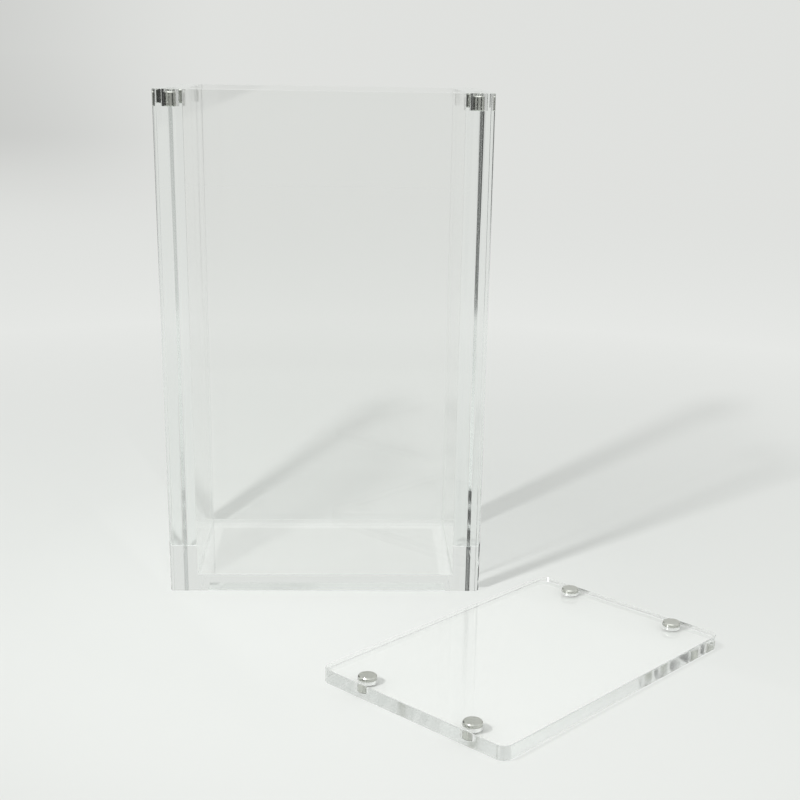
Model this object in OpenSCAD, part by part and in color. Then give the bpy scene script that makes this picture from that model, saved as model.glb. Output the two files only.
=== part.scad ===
// Upright display case of clear acrylic with an open top and a loose lid on disc magnets.
// Millimetres, +Z up. The origin is the centre of the case's footprint on the table.

/* [Case] */
// Outer width of the case, left to right
case_w = 95; // [60:0.5:160]
// Outer depth of the case, front to back
case_d = 63; // [44:0.2:120]
// Height of the case without its lid
case_h = 148; // [40:0.2:260]
// Thickness of the two side walls, which hold the magnets
side_t = 8; // [7:0.5:12]
// Thickness of the front and rear walls
face_t = 5; // [3:0.5:12]
// Thickness of the base plate
base_t = 4; // [2:0.5:10]
// Radius of the case's four upright outer corners
corner_r = 1.5; // [0.5:0.5:7]

/* [Lid] */
// Thickness of the lid plate
lid_t = 4; // [4:0.5:8]
// Radius of the lid's four corners
lid_corner_r = 3; // [0.5:0.5:7]
// Turn of the lid's long edge away from the front of the case, in degrees
lid_turn = 44.4; // [5:0.2:85]
// Gap from the case's front right corner to the long edge of the lid laid beside it
lid_gap = 12; // [4:0.1:60]
// How far the lid's centre lies in front of that corner, along the lid's long edge
lid_shift = 30.9; // [0:0.1:60]

/* [Magnets] */
// Diameter of a magnet
magnet_d = 5; // [3:0.5:6]
// Thickness of a magnet
magnet_t = 4; // [2:0.25:4]
// Bevel on a magnet's rims
magnet_bevel = 0.25; // [0.1:0.05:0.5]
// How far a lid magnet stands out of its plate
magnet_proud = 0.9; // [0.4:0.1:1.5]
// Distance from the front and rear faces to the magnets' centres
magnet_inset = 13.5; // [8:0.5:20]
// Clearance all round a magnet in its pocket
pocket_play = 0.05; // [0.02:0.01:0.15]
// Clearance between two facing magnets when the lid is on
closing_play = 0.1; // [0.1:0.1:1]

/* [Hidden] */
$fn = 64;

// Inner width and depth, between the walls
inner_w = case_w - 2 * side_t;
inner_d = case_d - 2 * face_t;
// A magnet's place from the middle of the case or of the lid: centred in the side wall
magnet_x = case_w / 2 - side_t / 2;
magnet_y = case_d / 2 - magnet_inset;
// A pocket in a side wall also takes the part of the lid magnet that stands out
pocket_r = magnet_d / 2 + pocket_play;
case_pocket = magnet_t + magnet_proud + closing_play;
lid_pocket = magnet_t - magnet_proud;
// The lid lies flat beside the front right corner, with its magnets up
lid_along = [cos(lid_turn), sin(lid_turn)];
lid_across = [sin(lid_turn), -cos(lid_turn)];
lid_centre = [case_w / 2, -case_d / 2] + lid_across * (lid_gap + case_d / 2) - lid_along * lid_shift;
// Overrun of a cut past the face that it opens
cut = 1;

acrylic = [0.86, 0.9, 0.89, 0.35];
nickel = [0.7, 0.72, 0.69];

// Plate of w by d by h, centred in plan, with its four upright edges rounded
module rounded_plate(w, d, h, r) {
    translate([-w / 2 + r, -d / 2, 0]) cube([w - 2 * r, d, h]);
    translate([-w / 2, -d / 2 + r, 0]) cube([w, d - 2 * r, h]);
    for (x = [-1, 1], y = [-1, 1])
        translate([x * (w / 2 - r), y * (d / 2 - r), 0]) cylinder(r = r, h = h);
}

// Round blind pocket of the given depth, open at height top
module pocket(x, y, top, depth) {
    translate([x, y, top - depth]) cylinder(r = pocket_r, h = depth + cut);
}

// Disc magnet with bevelled rims, its lower face at height z
module magnet(x, y, z) {
    r = magnet_d / 2;
    b = magnet_bevel;
    color(nickel) translate([x, y, z]) rotate_extrude()
        polygon([[0, 0], [r - b, 0], [r, b], [r, magnet_t - b], [r - b, magnet_t], [0, magnet_t]]);
}

// Side wall: the outer slice of the rounded case body, with two pockets in its top end.
// side is -1 for the left wall and 1 for the right wall.
module side_wall(side) {
    color(acrylic) difference() {
        intersection() {
            rounded_plate(case_w, case_d, case_h, corner_r);
            translate([side * (case_w - side_t) / 2 - side_t / 2, -case_d / 2, 0])
                cube([side_t, case_d, case_h]);
        }
        for (y = [-1, 1]) pocket(side * magnet_x, y * magnet_y, case_h, case_pocket);
    }
}

// Front or rear wall, held between the side walls; side is -1 for the front
module face_wall(side) {
    color(acrylic) translate([-inner_w / 2, side * (case_d - face_t) / 2 - face_t / 2, 0])
        cube([inner_w, face_t, case_h]);
}

module front_wall() {
    face_wall(-1);
}

module rear_wall() {
    face_wall(1);
}

module left_wall() {
    side_wall(-1);
}

module right_wall() {
    side_wall(1);
}

// Base plate, set in flush between the four walls
module base_plate() {
    color(acrylic) translate([-inner_w / 2, -inner_d / 2, 0]) cube([inner_w, inner_d, base_t]);
}

// Magnet on the floor of a side wall's pocket, out of reach until the lid magnet meets it
module case_magnet(x, y) {
    magnet(x * magnet_x, y * magnet_y, case_h - case_pocket);
}

// Moves a shape from the lid's own middle to where the lid lies
module lay_lid() {
    translate([lid_centre[0], lid_centre[1], 0]) rotate([0, 0, lid_turn]) children();
}

module lid_plate() {
    color(acrylic) lay_lid() difference() {
        rounded_plate(case_w, case_d, lid_t, lid_corner_r);
        for (x = [-1, 1], y = [-1, 1]) pocket(x * magnet_x, y * magnet_y, lid_t, lid_pocket);
    }
}

// Magnet in the lid, seated on its pocket's floor and standing out of the plate
module lid_magnet(x, y) {
    lay_lid() magnet(x * magnet_x, y * magnet_y, lid_t - lid_pocket);
}

front_wall();
rear_wall();
left_wall();
right_wall();
base_plate();
case_magnet(-1, -1);  // case_magnet_front_left
case_magnet(1, -1);  // case_magnet_front_right
case_magnet(-1, 1);  // case_magnet_rear_left
case_magnet(1, 1);  // case_magnet_rear_right
lid_plate();
lid_magnet(-1, 1);  // lid_magnet_left
lid_magnet(-1, -1);  // lid_magnet_near
lid_magnet(1, 1);  // lid_magnet_back
lid_magnet(1, -1);  // lid_magnet_right
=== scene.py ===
import math

import bmesh
import bpy
from mathutils import Matrix, Vector


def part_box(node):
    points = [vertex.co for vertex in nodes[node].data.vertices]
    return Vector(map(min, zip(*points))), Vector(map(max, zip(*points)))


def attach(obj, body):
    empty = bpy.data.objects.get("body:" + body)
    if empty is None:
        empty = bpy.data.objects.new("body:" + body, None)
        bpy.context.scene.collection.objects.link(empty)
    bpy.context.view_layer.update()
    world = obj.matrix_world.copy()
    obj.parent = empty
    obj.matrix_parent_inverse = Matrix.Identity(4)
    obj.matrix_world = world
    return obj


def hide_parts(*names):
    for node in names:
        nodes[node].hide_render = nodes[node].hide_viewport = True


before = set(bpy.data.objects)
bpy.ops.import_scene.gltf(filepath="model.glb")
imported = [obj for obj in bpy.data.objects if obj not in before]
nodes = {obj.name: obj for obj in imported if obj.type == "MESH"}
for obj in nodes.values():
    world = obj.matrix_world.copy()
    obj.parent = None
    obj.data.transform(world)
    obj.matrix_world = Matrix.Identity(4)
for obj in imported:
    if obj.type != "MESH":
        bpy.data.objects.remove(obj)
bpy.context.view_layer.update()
print("frame loaded:", len(nodes), "CAD pieces")

# Camera

cameraView = {
    "spot": (0.00725, -0.42536, 0.15836),  # metres, in front of the case and just above its rim
    "turn": 0.039,  # radians to the right
    "tip": 0.3157,  # radians down
    "roll": 0.016,
    "lens": 61.648,  # millimetres
    "shift": 0.125,  # the photo is the upper part of a taller frame
}


def makeCamera(view):
    turn, tip, roll = view["turn"], view["tip"], view["roll"]
    forward = Vector((math.sin(turn) * math.cos(tip), math.cos(turn) * math.cos(tip), -math.sin(tip)))
    right = Vector((math.cos(turn), -math.sin(turn), 0.0))
    up = right.cross(forward)
    rolledRight = right * math.cos(roll) + up * math.sin(roll)
    rolledUp = up * math.cos(roll) - right * math.sin(roll)
    data = bpy.data.cameras.new("productCamera")
    data.lens = view["lens"]
    data.shift_y = view["shift"]
    camera = bpy.data.objects.new("productCamera", data)
    bpy.context.scene.collection.objects.link(camera)
    axes = Matrix((rolledRight, rolledUp, -forward)).transposed()
    camera.matrix_world = Matrix.Translation(view["spot"]) @ axes.to_4x4()
    bpy.context.scene.camera = camera


# Small helpers for shader nodes

def newNode(tree, kind, **values):
    node = tree.nodes.new(kind)
    for name, value in values.items():
        setattr(node, name, value)
    return node


def mathNode(tree, operation, first, second=None, third=None):
    node = newNode(tree, "ShaderNodeMath", operation=operation)
    for socket, value in zip(node.inputs, (first, second, third)):
        if value is None:
            continue
        if isinstance(value, (int, float)):
            socket.default_value = value
        else:
            tree.links.new(value, socket)
    return node.outputs[0]


def rampNode(tree, source, low, high, fromValue=0.0, toValue=1.0, kind="SMOOTHSTEP"):
    node = newNode(tree, "ShaderNodeMapRange", interpolation_type=kind)
    tree.links.new(source, node.inputs["Value"])
    for name, value in (("From Min", low), ("From Max", high), ("To Min", fromValue), ("To Max", toValue)):
        node.inputs[name].default_value = value
    return node.outputs[0]


def bandNode(tree, source, low, high, soft):
    inside = rampNode(tree, source, low - soft, low + soft)
    return mathNode(tree, "MULTIPLY", inside, rampNode(tree, source, high - soft, high + soft, 1.0, 0.0))


def mixColour(tree, factor, first, second):
    node = newNode(tree, "ShaderNodeMix", data_type="RGBA")
    for socket, value in ((node.inputs[0], factor), (node.inputs[6], first), (node.inputs[7], second)):
        if isinstance(value, (int, float)):
            socket.default_value = value
        elif isinstance(value, tuple):
            socket.default_value = (*value, 1.0)
        else:
            tree.links.new(value, socket)
    return node.outputs[2]


def splitNode(tree, source):
    parts = newNode(tree, "ShaderNodeSeparateXYZ")
    tree.links.new(source, parts.inputs[0])
    return parts.outputs


# Studio: a pale floor and pale air, with a darker room that only polished faces mirror

studio = {
    "backdrop": (0.745, 0.755, 0.735),  # the pale grey that floor and air fade into
    "zenith": (0.97, 0.98, 0.97),
    "zenithFrom": (0.42, 0.75),  # sines of height, where the air goes from backdrop to zenith
    "ambient": 1.09,  # soft light from all round, against what the camera sees
    "leftShade": 0.8,  # the far left of the room lies in soft shade
    "leftShadeAcross": (-0.30, -0.08),  # sines of direction, where that shade starts and ends
    "leftShadeReach": (0.5, 2.5),  # metres from the case, where it comes up on the floor
    "roomLeft": 0.09,  # what polished faces mirror low down at the left of the room
    "roomRight": 0.80,
    "roomFront": 0.75,
    "roomAcross": (0.34, 0.42),  # sines of direction, where the room's dark sides start
    "roomHigh": (0.38, 0.46),  # and where they end above and below
    "roomDeep": (-0.7, 0.0),  # where the room's front fades out
    "softbox": 2.0,  # the broad light overhead, as polished edges mirror it
    "softboxHigh": (0.86, 0.93),
}

floorSheet = {
    "radius": 30.0,  # metres
    "sides": 96,
    "drop": 0.0001,  # metres, a hair of air under the clear pieces
    # painted light: the near tone is darker and the far tone lighter than the sheet itself, to even out the
    # lamp's fall-off on the floor
    "near": (0.647, 0.659, 0.645),
    "far": (0.83, 0.835, 0.825),
    "farFrom": (0.1, 0.42),  # metres from the case, from the near tone to the far one
    "fadeOut": (0.5, 1.3),  # metres from the case, where the floor fades into the backdrop
    "mirroredSides": (0.35, 0.45),  # metres aside, where the sheet ends for mirrored light
    "mirroredSlant": 0.38,  # how much wider it gets towards the rear
    "mirroredSoft": 0.08,
    "mirroredFront": (-0.345, -0.325),  # metres, where it ends in front
    "thrownBack": 0.016,  # painted light: a glow on the floor where the front and left faces would throw lamplight back onto it
    "thrownShare": 0.7,  # the share of a face's height that throws light
    "thrownSoft": (0.005, 0.13),  # softness of a pool's sides and of its far end
    "footBands": 0.09,  # painted light on the floor under the inner foot of the walls, where light gathers
    "bandWidths": (0.0038, 0.0058, 0.0010),  # along the side walls, the rear wall and the front wall
    "bandSoft": 0.0004,
    "sideBandSoft": 0.0006,
}


def mirroredLight(tree, way):
    # one for light that a clear piece mirrors to the camera, zero for all other light
    glossy = mathNode(tree, "GREATER_THAN", way.outputs["Glossy Depth"], 0.5)
    sharp = mathNode(tree, "SUBTRACT", 1.0, way.outputs["Is Diffuse Ray"])
    return mathNode(tree, "MULTIPLY", glossy, sharp)


def roomSides(tree, values, left, right):
    return mathNode(
        tree, "MULTIPLY", rampNode(tree, left, 0.0, 1.0, 1.0, values["roomLeft"]),
        rampNode(tree, right, 0.0, 1.0, 1.0, values["roomRight"]),
    )


def makeWorld(values):
    world = bpy.data.worlds.new("studioAir")
    bpy.context.scene.world = world
    world.use_nodes = True
    tree = world.node_tree
    tree.nodes.clear()
    output = newNode(tree, "ShaderNodeOutputWorld")
    background = newNode(tree, "ShaderNodeBackground")
    tree.links.new(background.outputs[0], output.inputs[0])
    across, deep, high = splitNode(tree, newNode(tree, "ShaderNodeTexCoord").outputs["Generated"])
    dome = rampNode(tree, high, *values["zenithFrom"])
    dome = mixColour(tree, dome, values["backdrop"], values["zenith"])
    tree.links.new(dome, background.inputs["Color"])
    corner = rampNode(tree, across, *values["leftShadeAcross"], values["leftShade"], 1.0)
    # the darker room, low down at both sides and in front
    low = rampNode(tree, mathNode(tree, "ABSOLUTE", high), *values["roomHigh"], 1.0, 0.0)
    sideFrom, sideTo = values["roomAcross"]
    left = mathNode(tree, "MULTIPLY", rampNode(tree, across, -sideTo, -sideFrom, 1.0, 0.0), low)
    right = mathNode(tree, "MULTIPLY", rampNode(tree, across, sideFrom, sideTo), low)
    front = rampNode(tree, deep, *values["roomDeep"], values["roomFront"], 1.0)
    shade = mathNode(tree, "MULTIPLY", roomSides(tree, values, left, right), front)
    way = newNode(tree, "ShaderNodeLightPath")
    mirrored = mirroredLight(tree, way)
    strength = mathNode(tree, "MULTIPLY_ADD", mirrored, mathNode(tree, "SUBTRACT", shade, corner), corner)
    overhead = mathNode(tree, "MULTIPLY", rampNode(tree, high, *values["softboxHigh"]), mirrored)
    overhead = rampNode(tree, overhead, 0.0, 1.0, 1.0, values["softbox"])
    strength = mathNode(tree, "MULTIPLY", strength, overhead)
    soft = rampNode(tree, way.outputs["Is Diffuse Ray"], 0.0, 1.0, 1.0, values["ambient"])
    tree.links.new(mathNode(tree, "MULTIPLY", strength, soft), background.inputs["Strength"])


def thrownLight(tree, values, along, away, face, half, height, lamp):
    # a mask for a pool of painted light on the floor: one where a ray from the lamp's mirror image to a
    # point of the floor crosses the mirroring face
    lampAlong, lampAway, lampHigh = lamp
    sideSoft, endSoft = values["thrownSoft"]
    behind = mathNode(tree, "SUBTRACT", 2 * face - lampAway, away)
    share = mathNode(tree, "DIVIDE", mathNode(tree, "SUBTRACT", face, away), behind)
    crossing = mathNode(tree, "MULTIPLY_ADD", share, mathNode(tree, "SUBTRACT", lampAlong, along), along)
    sides = bandNode(tree, crossing, -half, half, sideSoft)
    ends = bandNode(tree, share, 0.0, values["thrownShare"] * height / lampHigh, endSoft)
    within = mathNode(tree, "MULTIPLY", sides, ends)
    return mathNode(tree, "MULTIPLY", within, mathNode(tree, "LESS_THAN", away, face))


def footBands(tree, values, across, deep, inside):
    # one on strips of the floor along the inner foot of the walls, where painted light goes
    side, rear, front = values["bandWidths"]
    soft, sideSoft = values["bandSoft"], values["sideBandSoft"]
    inner = mathNode(
        tree, "MULTIPLY", bandNode(tree, across, -inside.x, inside.x, soft),
        bandNode(tree, deep, -inside.y, inside.y, soft),
    )
    bare = mathNode(
        tree, "MULTIPLY", bandNode(tree, across, side - inside.x, inside.x - side, sideSoft),
        bandNode(tree, deep, front - inside.y, inside.y - rear, soft),
    )
    return mathNode(tree, "MULTIPLY", inner, mathNode(tree, "SUBTRACT", 1.0, bare))


def makeFloorMaterial(values, room, lamp, low, high, inside):
    material = bpy.data.materials.new("paleFloor")
    material.use_nodes = True
    material.cycles.emission_sampling = "NONE"
    tree = material.node_tree
    tree.nodes.clear()
    output = newNode(tree, "ShaderNodeOutputMaterial")
    place = newNode(tree, "ShaderNodeTexCoord").outputs["Object"]
    across, deep = splitNode(tree, place)[:2]
    length = newNode(tree, "ShaderNodeVectorMath", operation="LENGTH")
    tree.links.new(place, length.inputs[0])
    reach = length.outputs["Value"]

    # the lit sheet, painted darker near the case and lighter further off to even out the lamp's fall-off,
    # with pools of painted light in front of the case and left of it
    paint = newNode(tree, "ShaderNodeBsdfDiffuse")
    paintedTone = rampNode(tree, reach, *values["farFrom"], kind="LINEAR")
    tree.links.new(mixColour(tree, paintedTone, values["near"], values["far"]), paint.inputs["Color"])
    paintedPool = mathNode(
        tree, "MAXIMUM", thrownLight(tree, values, across, deep, low.y, high.x, high.z, lamp),
        thrownLight(tree, values, deep, across, low.x, high.y, high.z, (lamp[1], lamp[0], lamp[2])),
    )
    # painted light: the floor glows in the pools and along the inner foot of the walls
    paintedGlow = newNode(tree, "ShaderNodeEmission")
    paintedGlowStrength = mathNode(tree, "MULTIPLY", footBands(tree, values, across, deep, inside), values["footBands"])
    paintedGlowStrength = mathNode(tree, "MULTIPLY_ADD", paintedPool, values["thrownBack"], paintedGlowStrength)
    tree.links.new(paintedGlowStrength, paintedGlow.inputs["Strength"])
    lit = newNode(tree, "ShaderNodeAddShader")
    tree.links.new(paint.outputs[0], lit.inputs[0])
    tree.links.new(paintedGlow.outputs[0], lit.inputs[1])

    # polished faces see the sheet end at both sides and in front, and a darker room beyond
    mirrored = mirroredLight(tree, newNode(tree, "ShaderNodeLightPath"))
    slant = mathNode(tree, "MULTIPLY", deep, values["mirroredSlant"])
    aside = mathNode(tree, "SUBTRACT", mathNode(tree, "ABSOLUTE", across), slant)
    aside = mathNode(tree, "MULTIPLY", rampNode(tree, aside, 0.0, values["mirroredSoft"]), mirrored)
    sideFrom, sideTo = values["mirroredSides"]
    left = mathNode(tree, "MULTIPLY", rampNode(tree, across, -sideTo, -sideFrom, 1.0, 0.0), aside)
    right = mathNode(tree, "MULTIPLY", rampNode(tree, across, sideFrom, sideTo), aside)
    front = rampNode(tree, deep, *values["mirroredFront"], 1.0, 0.0)
    front = mathNode(tree, "MULTIPLY", front, mirrored)
    shade = roomSides(tree, room, left, right)
    shade = mathNode(tree, "MULTIPLY", shade, rampNode(tree, front, 0.0, 1.0, 1.0, room["roomFront"]))

    # far off, the left of the floor is painted darker, in the same soft shade as the air behind it
    corner = mathNode(tree, "DIVIDE", across, reach)
    corner = rampNode(tree, corner, *room["leftShadeAcross"], room["leftShade"], 1.0)
    distant = rampNode(tree, reach, *room["leftShadeReach"])
    corner = mathNode(tree, "MULTIPLY_ADD", distant, mathNode(tree, "SUBTRACT", corner, 1.0), 1.0)
    glow = newNode(tree, "ShaderNodeEmission")
    glow.inputs["Color"].default_value = (*room["backdrop"], 1.0)
    tree.links.new(mathNode(tree, "MULTIPLY", shade, corner), glow.inputs["Strength"])

    fade = rampNode(tree, reach, *values["fadeOut"])
    beyond = mathNode(tree, "MAXIMUM", mathNode(tree, "MAXIMUM", left, right), front)
    mix = newNode(tree, "ShaderNodeMixShader")
    tree.links.new(mathNode(tree, "MAXIMUM", fade, beyond), mix.inputs[0])
    tree.links.new(lit.outputs[0], mix.inputs[1])
    tree.links.new(glow.outputs[0], mix.inputs[2])
    tree.links.new(mix.outputs[0], output.inputs[0])
    return material


def makeFloor(values, material):
    shape = bmesh.new()
    bmesh.ops.create_circle(shape, cap_ends=True, radius=values["radius"], segments=values["sides"])
    mesh = bpy.data.meshes.new("studioFloor")
    shape.to_mesh(mesh)
    shape.free()
    mesh.transform(Matrix.Translation((0.0, 0.0, -values["drop"])))
    floor = bpy.data.objects.new("studioFloor", mesh)
    bpy.context.scene.collection.objects.link(floor)
    mesh.materials.append(material)


keyLamp = {
    "spot": (-0.126, -0.191, 0.32),  # metres, in front of the case and left of it
    "aim": (0.2, 0.2, 0.0),
    "size": 0.014,  # metres, for soft ends on the long shadows
    "power": 2.85,  # watts
    "cone": 130.0,  # degrees
    "blend": 1.0,
}


def makeLamp(name, lamp):
    data = bpy.data.lights.new(name, "SPOT")
    data.shadow_soft_size = lamp["size"]
    data.energy = lamp["power"]
    data.spot_size = math.radians(lamp["cone"])
    data.spot_blend = lamp["blend"]
    light = bpy.data.objects.new(name, data)
    bpy.context.scene.collection.objects.link(light)
    spot = Vector(lamp["spot"])
    turn = (Vector(lamp["aim"]) - spot).to_track_quat("-Z", "Y")
    light.matrix_world = Matrix.Translation(spot) @ turn.to_matrix().to_4x4()


# a ray goes in and out of many clear faces before it ends
bounces = {
    "max_bounces": 32,
    "glossy_bounces": 24,
    "transmission_bounces": 24,
    "transparent_max_bounces": 24,
}

# the case from outside, and its cavity
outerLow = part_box("left_wall")[0]
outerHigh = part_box("right_wall")[1]
innerLow = Vector((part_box("left_wall")[1].x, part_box("front_wall")[1].y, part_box("base_plate")[1].z))
innerHigh = Vector((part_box("right_wall")[0].x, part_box("rear_wall")[0].y, outerHigh.z))

makeCamera(cameraView)
makeWorld(studio)
floorPaint = makeFloorMaterial(floorSheet, studio, keyLamp["spot"], outerLow, outerHigh, innerHigh)
makeFloor(floorSheet, floorPaint)
makeLamp("keyLamp", keyLamp)
scene = bpy.context.scene
scene.view_settings.view_transform = "Standard"
for name, limit in bounces.items():
    setattr(scene.cycles, name, limit)
print("camera and studio ready")

# Materials

handling = {
    "smudgeScale": 38.0,  # patches a few centimetres across
    "scratchScale": 420.0,
    "smudgeDetail": 4.0,
    "smudgeDistortion": 0.6,
    "scratchDetail": 2.0,
    "smudgeFrom": (0.52, 0.78),
    "speckFrom": (0.45, 0.7),
    "speckLeast": 0.5,
    "scratchHeight": 0.06,  # against the height of the patches
}

clearAcrylic = {
    "index": 1.49,
    "depthTint": (0.86, 0.95, 0.92),
    "depthDensity": 2.2,
    "ripple": 0.000001,  # metres, the slight waviness of cast sheet
    "levelFrom": (0.3, 0.7),  # how far up a face looks, from an upright face to a level one
    "sideFrom": 0.7,  # how far aside a face looks that counts as a side face
    "glow": (0.71, 0.72, 0.70),  # painted light: the even glow given in place of light that wanders long inside a piece
    "glowAfter": 11.5,  # bounces of a ray
}

nickelPlate = {
    "colour": (0.60, 0.61, 0.57),
    "dull": (0.46, 0.47, 0.44),
    "smudgeScale": 700.0,
    "scratchScale": 4500.0,
    "roughness": (0.112, 0.24),  # from hollows to ridges of the grain
    "ridgeFrom": (0.3, 0.8),
    "grain": 0.000004,
}


def makeHandlingMarks(values):
    group = bpy.data.node_groups.new("handlingMarks", "ShaderNodeTree")
    group.interface.new_socket("Place", in_out="INPUT", socket_type="NodeSocketVector")
    for name, value in (("Smudge Scale", values["smudgeScale"]), ("Scratch Scale", values["scratchScale"])):
        socket = group.interface.new_socket(name, in_out="INPUT", socket_type="NodeSocketFloat")
        socket.default_value = value
    group.interface.new_socket("Smudge", in_out="OUTPUT", socket_type="NodeSocketFloat")
    group.interface.new_socket("Height", in_out="OUTPUT", socket_type="NodeSocketFloat")
    source = newNode(group, "NodeGroupInput")
    result = newNode(group, "NodeGroupOutput")
    patches = newNode(group, "ShaderNodeTexNoise")
    patches.inputs["Detail"].default_value = values["smudgeDetail"]
    patches.inputs["Distortion"].default_value = values["smudgeDistortion"]
    group.links.new(source.outputs["Place"], patches.inputs["Vector"])
    group.links.new(source.outputs["Smudge Scale"], patches.inputs["Scale"])
    fine = newNode(group, "ShaderNodeTexNoise")
    fine.inputs["Detail"].default_value = values["scratchDetail"]
    group.links.new(source.outputs["Place"], fine.inputs["Vector"])
    group.links.new(source.outputs["Scratch Scale"], fine.inputs["Scale"])
    smudge = rampNode(group, patches.outputs[0], *values["smudgeFrom"])
    speck = rampNode(group, fine.outputs[0], *values["speckFrom"], values["speckLeast"], 1.0)
    group.links.new(mathNode(group, "MULTIPLY", smudge, speck), result.inputs["Smudge"])
    height = mathNode(group, "MULTIPLY_ADD", fine.outputs[0], values["scratchHeight"], patches.outputs[0])
    group.links.new(height, result.inputs["Height"])
    return group


def placeMarks(tree, place, scales):
    marks = newNode(tree, "ShaderNodeGroup", node_tree=handlingMarks)
    tree.links.new(place, marks.inputs["Place"])
    marks.inputs["Smudge Scale"].default_value = scales["smudgeScale"]
    marks.inputs["Scratch Scale"].default_value = scales["scratchScale"]
    return marks


def bumpNode(tree, height, distance):
    bump = newNode(tree, "ShaderNodeBump")
    bump.inputs["Distance"].default_value = distance
    tree.links.new(height, bump.inputs["Height"])
    return bump.outputs[0]


def postMask(tree, spot, facing, posts, half):
    # one on the faces of the tall upright corners, where lamplight is guided away inside
    ends = []
    for side, other, reach, width in zip((0, 1), (1, 0), half, posts["widths"]):
        edge = reach - width
        near = rampNode(tree, mathNode(tree, "ABSOLUTE", spot[side]), edge, edge + posts["edgeSoft"])
        turned = mathNode(tree, "ABSOLUTE", facing[other])
        faces = mathNode(tree, "GREATER_THAN", turned, posts["facing"])
        ends.append(mathNode(tree, "MULTIPLY", near, faces))
    mask = rampNode(tree, spot[2], *posts["foot"])
    mask = mathNode(tree, "MULTIPLY", mask, mathNode(tree, "MAXIMUM", ends[0], ends[1]))
    # the front left corner faces the lamp and lets most of its light through
    away = mathNode(tree, "GREATER_THAN", mathNode(tree, "MAXIMUM", spot[0], spot[1]), 0.0)
    return mathNode(tree, "MULTIPLY", mask, rampNode(tree, away, 0.0, 1.0, posts["frontLeft"], 1.0))


def lampShare(tree, place, values, piece, half):
    # the share of lamplight that passes each face
    spot = splitNode(tree, place)
    facing = splitNode(tree, newNode(tree, "ShaderNodeNewGeometry").outputs["Normal"])
    upright = mathNode(tree, "ABSOLUTE", facing[2])
    upright = rampNode(tree, upright, *values["levelFrom"], 1.0, 0.0)
    sideways = mathNode(tree, "GREATER_THAN", mathNode(tree, "ABSOLUTE", facing[0]), values["sideFrom"])
    wall = rampNode(tree, sideways, 0.0, 1.0, *piece["lampThroughWalls"])
    if "posts" in piece:
        mask = postMask(tree, spot, facing, piece["posts"], half)
        change = mathNode(tree, "SUBTRACT", piece["posts"]["lampThrough"], wall)
        wall = mathNode(tree, "MULTIPLY_ADD", mask, change, wall)
    share = newNode(tree, "ShaderNodeMix", data_type="FLOAT")
    tree.links.new(upright, share.inputs[0])
    share.inputs[2].default_value = piece["lampThroughFlat"]
    tree.links.new(wall, share.inputs[3])
    return share.outputs[0]


def makeAcrylic(name, values, piece, half):
    material = bpy.data.materials.new(name)
    material.use_nodes = True
    material.cycles.emission_sampling = "NONE"
    tree = material.node_tree
    tree.nodes.clear()
    output = newNode(tree, "ShaderNodeOutputMaterial")
    gloss = newNode(tree, "ShaderNodeBsdfPrincipled")
    gloss.inputs["IOR"].default_value = values["index"]
    gloss.inputs["Transmission Weight"].default_value = 1.0
    gloss.inputs["Metallic"].default_value = 0.0
    gloss.inputs["Roughness"].default_value = piece["roughness"]
    place = newNode(tree, "ShaderNodeTexCoord").outputs["Object"]
    marks = placeMarks(tree, place, handling)
    colour = mixColour(tree, marks.outputs["Smudge"], piece["tint"], piece["smudged"])
    tree.links.new(colour, gloss.inputs["Base Color"])
    tree.links.new(bumpNode(tree, marks.outputs["Height"], values["ripple"]), gloss.inputs["Normal"])

    # lamplight passes as its share, and soft light from all round passes whole
    way = newNode(tree, "ShaderNodeLightPath")
    share = lampShare(tree, place, values, piece, half)
    clear = newNode(tree, "ShaderNodeBsdfTransparent")
    passed = mathNode(tree, "MAXIMUM", share, way.outputs["Is Diffuse Ray"])
    tree.links.new(passed, clear.inputs["Color"])
    soft = mathNode(tree, "MAXIMUM", way.outputs["Is Shadow Ray"], way.outputs["Is Diffuse Ray"])
    seen = newNode(tree, "ShaderNodeMixShader")
    tree.links.new(soft, seen.inputs[0])
    tree.links.new(gloss.outputs[0], seen.inputs[1])
    tree.links.new(clear.outputs[0], seen.inputs[2])

    # painted light: a ray that has wandered long inside the piece ends in an even glow instead
    glow = newNode(tree, "ShaderNodeEmission")
    glow.inputs["Color"].default_value = (*values["glow"], 1.0)
    lost = mathNode(tree, "GREATER_THAN", way.outputs["Ray Depth"], values["glowAfter"])
    whole = newNode(tree, "ShaderNodeMixShader")
    tree.links.new(lost, whole.inputs[0])
    tree.links.new(seen.outputs[0], whole.inputs[1])
    tree.links.new(glow.outputs[0], whole.inputs[2])
    tree.links.new(whole.outputs[0], output.inputs["Surface"])

    depth = newNode(tree, "ShaderNodeVolumeAbsorption")
    depth.inputs["Color"].default_value = (*values["depthTint"], 1.0)
    depth.inputs["Density"].default_value = values["depthDensity"]
    tree.links.new(depth.outputs[0], output.inputs["Volume"])
    return material


def makeNickel(values):
    material = bpy.data.materials.new("nickelPlate")
    material.use_nodes = True
    tree = material.node_tree
    gloss = tree.nodes["Principled BSDF"]
    gloss.inputs["Metallic"].default_value = 1.0
    marks = placeMarks(tree, newNode(tree, "ShaderNodeTexCoord").outputs["Object"], values)
    colour = mixColour(tree, marks.outputs["Smudge"], values["colour"], values["dull"])
    tree.links.new(colour, gloss.inputs["Base Color"])
    rough = rampNode(tree, marks.outputs["Height"], *values["ridgeFrom"], *values["roughness"])
    tree.links.new(rough, gloss.inputs["Roughness"])
    tree.links.new(bumpNode(tree, marks.outputs["Height"], values["grain"]), gloss.inputs["Normal"])
    return material


handlingMarks = makeHandlingMarks(handling)

# Shapes

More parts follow.
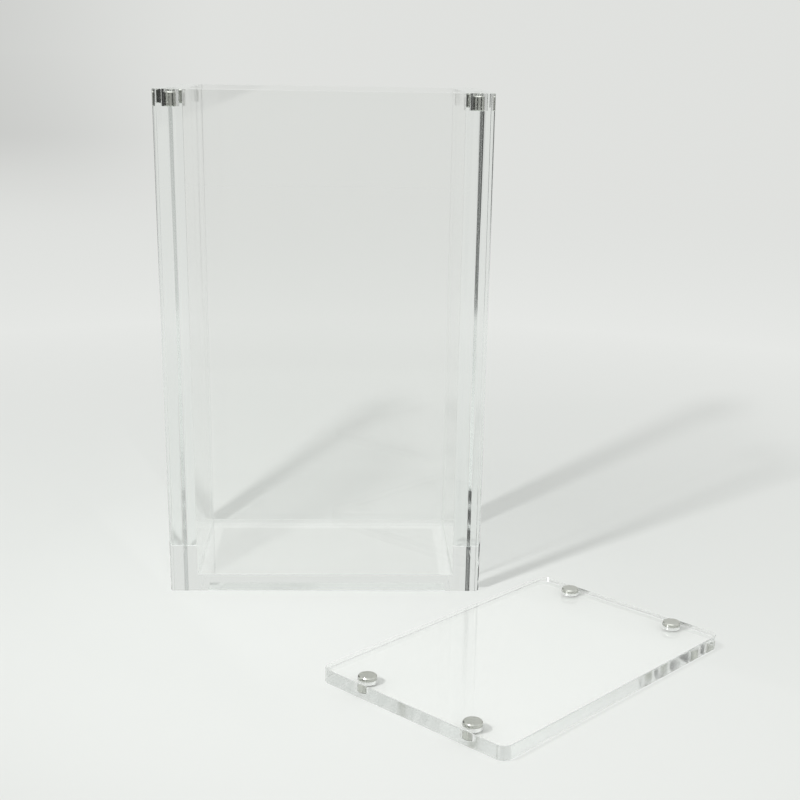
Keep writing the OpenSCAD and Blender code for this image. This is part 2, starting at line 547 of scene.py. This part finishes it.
caseBody = {
    "cornerRadius": 0.0015,  # metres
    "cornerSteps": 12,
    "edgeBevel": 0.00025,
    "roughness": 0.0,
    "tint": (0.988, 0.991, 0.987),
    "smudged": (0.979, 0.982, 0.978),
    "lampThroughFlat": 0.997,  # share of lamplight that passes a level face
    "lampThroughWalls": (0.965, 0.83),  # the same for a front or rear face, and for a side face
    "posts": {
        "lampThrough": 0.05,  # the same for the upright corners
        "widths": (0.008, 0.0065),  # along the front, and along the sides
        "edgeSoft": 0.0005,
        "facing": 0.6,  # how far along the other axis a face looks that counts
        "foot": (0.006, 0.008),  # metres of height, below which lamplight passes them
        "frontLeft": 0.3,  # the share of their shade that the front left corner has
    },
}

lidPlate = {
    "cornerRadius": 0.003,
    "cornerSteps": 14,
    "edgeBevel": 0.00025,
    "roughness": 0.06,  # handled more than the case
    "tint": (0.998, 1.0, 0.997),
    "smudged": (0.993, 0.996, 0.992),
    "lampThroughFlat": 1.04,  # above one, for the light that its polished faces gather below it
    "lampThroughWalls": (0.6, 0.6),
}

pockets = {
    "play": 0.00005,  # metres, all round a magnet and below it
    "sides": 64,
    "overrun": 0.002,  # how far a cut runs past the face that it opens
}

polish = {
    "bevelSteps": 2,
    "bevelAngle": 35.0,  # degrees, the least turn of an edge that is bevelled
    "flatWeight": 100,
}


def middle(node):
    low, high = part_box(node)
    return (low + high) / 2


def blockShape(low, high):
    shape = bmesh.new()
    bmesh.ops.create_cube(shape, size=1.0)
    bmesh.ops.scale(shape, vec=high - low, verts=shape.verts)
    bmesh.ops.translate(shape, vec=(low + high) / 2, verts=shape.verts)
    return shape


def roundedBlock(low, high, piece):
    shape = blockShape(low, high)
    half = (high.z - low.z) / 2
    uprights = [e for e in shape.edges if abs(e.verts[0].co.z - e.verts[1].co.z) > half]
    bmesh.ops.bevel(
        shape, geom=uprights, offset=piece["cornerRadius"], offset_type="OFFSET",
        segments=piece["cornerSteps"], profile=0.5, affect="EDGES", material=-1,
    )
    return shape


def addPockets(shape, magnets, face):
    low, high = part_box("case_magnet_front_left")
    radius = (high.x - low.x) / 2 + pockets["play"]
    top = face + pockets["overrun"]
    for magnet in magnets:
        centre = middle(magnet)
        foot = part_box(magnet)[0].z - pockets["play"]
        bmesh.ops.create_cone(
            shape, cap_ends=True, cap_tris=False, segments=pockets["sides"], radius1=radius,
            radius2=radius, depth=top - foot,
            matrix=Matrix.Translation((centre.x, centre.y, (foot + top) / 2)),
        )


def toObject(shape, name):
    mesh = bpy.data.meshes.new(name)
    shape.to_mesh(mesh)
    shape.free()
    made = bpy.data.objects.new(name, mesh)
    bpy.context.scene.collection.objects.link(made)
    return made


def cutAway(body, cutter):
    cut = body.modifiers.new("cut", "BOOLEAN")
    cut.operation = "DIFFERENCE"
    cut.solver = "EXACT"
    cut.object = cutter
    bpy.context.view_layer.update()
    view = bpy.context.evaluated_depsgraph_get()
    mesh = bpy.data.meshes.new_from_object(body.evaluated_get(view))
    body.modifiers.clear()
    body.data = mesh
    bpy.data.objects.remove(cutter)


def polishEdges(body, width):
    for face in body.data.polygons:
        face.use_smooth = True
    bevel = body.modifiers.new("edgeBevel", "BEVEL")
    bevel.width = width
    bevel.segments = polish["bevelSteps"]
    bevel.limit_method = "ANGLE"
    bevel.angle_limit = math.radians(polish["bevelAngle"])
    bevel.miter_outer = "MITER_ARC"
    flat = body.modifiers.new("flatFaces", "WEIGHTED_NORMAL")
    flat.mode = "FACE_AREA"
    flat.weight = polish["flatWeight"]
    flat.keep_sharp = True


halfPlan = (outerHigh.x, outerHigh.y)  # of the case, and of the lid that covers it
overrun = Vector((0.0, 0.0, pockets["overrun"]))

# The five bonded panels are one clear body, since the joints between them don't show
caseShell = toObject(roundedBlock(outerLow, outerHigh, caseBody), "case_shell")
hollow = blockShape(innerLow, innerHigh + overrun)
corners = ("front_left", "front_right", "rear_left", "rear_right")
addPockets(hollow, ["case_magnet_" + corner for corner in corners], outerHigh.z)
cutAway(caseShell, toObject(hollow, "caseHollow"))
polishEdges(caseShell, caseBody["edgeBevel"])
caseShell.data.materials.append(makeAcrylic("caseAcrylic", clearAcrylic, caseBody, halfPlan))
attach(caseShell, "case")
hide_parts("front_wall", "rear_wall", "left_wall", "right_wall", "base_plate")
print("case shell built:", len(caseShell.data.vertices), "points")

# The lid has the case's footprint and lies where its four magnets are
lidMagnets = ["lid_magnet_" + name for name in ("left", "near", "back", "right")]
lidCentre = sum((middle(magnet) for magnet in lidMagnets), Vector()) / len(lidMagnets)
lidAlong = middle("lid_magnet_back") - middle("lid_magnet_left")
lidTurn = math.atan2(lidAlong.y, lidAlong.x)
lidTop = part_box("lid_plate")[1].z
lidLow = Vector((-halfPlan[0], -halfPlan[1], 0.0))
lidHigh = Vector((halfPlan[0], halfPlan[1], lidTop))
lidPanel = toObject(roundedBlock(lidLow, lidHigh, lidPlate), "lid_panel")
layLid = Matrix.Translation((lidCentre.x, lidCentre.y, 0.0)) @ Matrix.Rotation(lidTurn, 4, "Z")
lidPanel.data.transform(layLid)
lidHoles = bmesh.new()
addPockets(lidHoles, lidMagnets, lidTop)
cutAway(lidPanel, toObject(lidHoles, "lidPockets"))
polishEdges(lidPanel, lidPlate["edgeBevel"])
lidPanel.data.materials.append(makeAcrylic("lidAcrylic", clearAcrylic, lidPlate, halfPlan))
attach(lidPanel, "lid")
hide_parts("lid_plate")
print("lid built:", len(lidPanel.data.vertices), "points")

nickel = makeNickel(nickelPlate)
for name, node in nodes.items():
    if "magnet" in name:
        node.data.materials.clear()
        node.data.materials.append(nickel)
print("magnets finished")
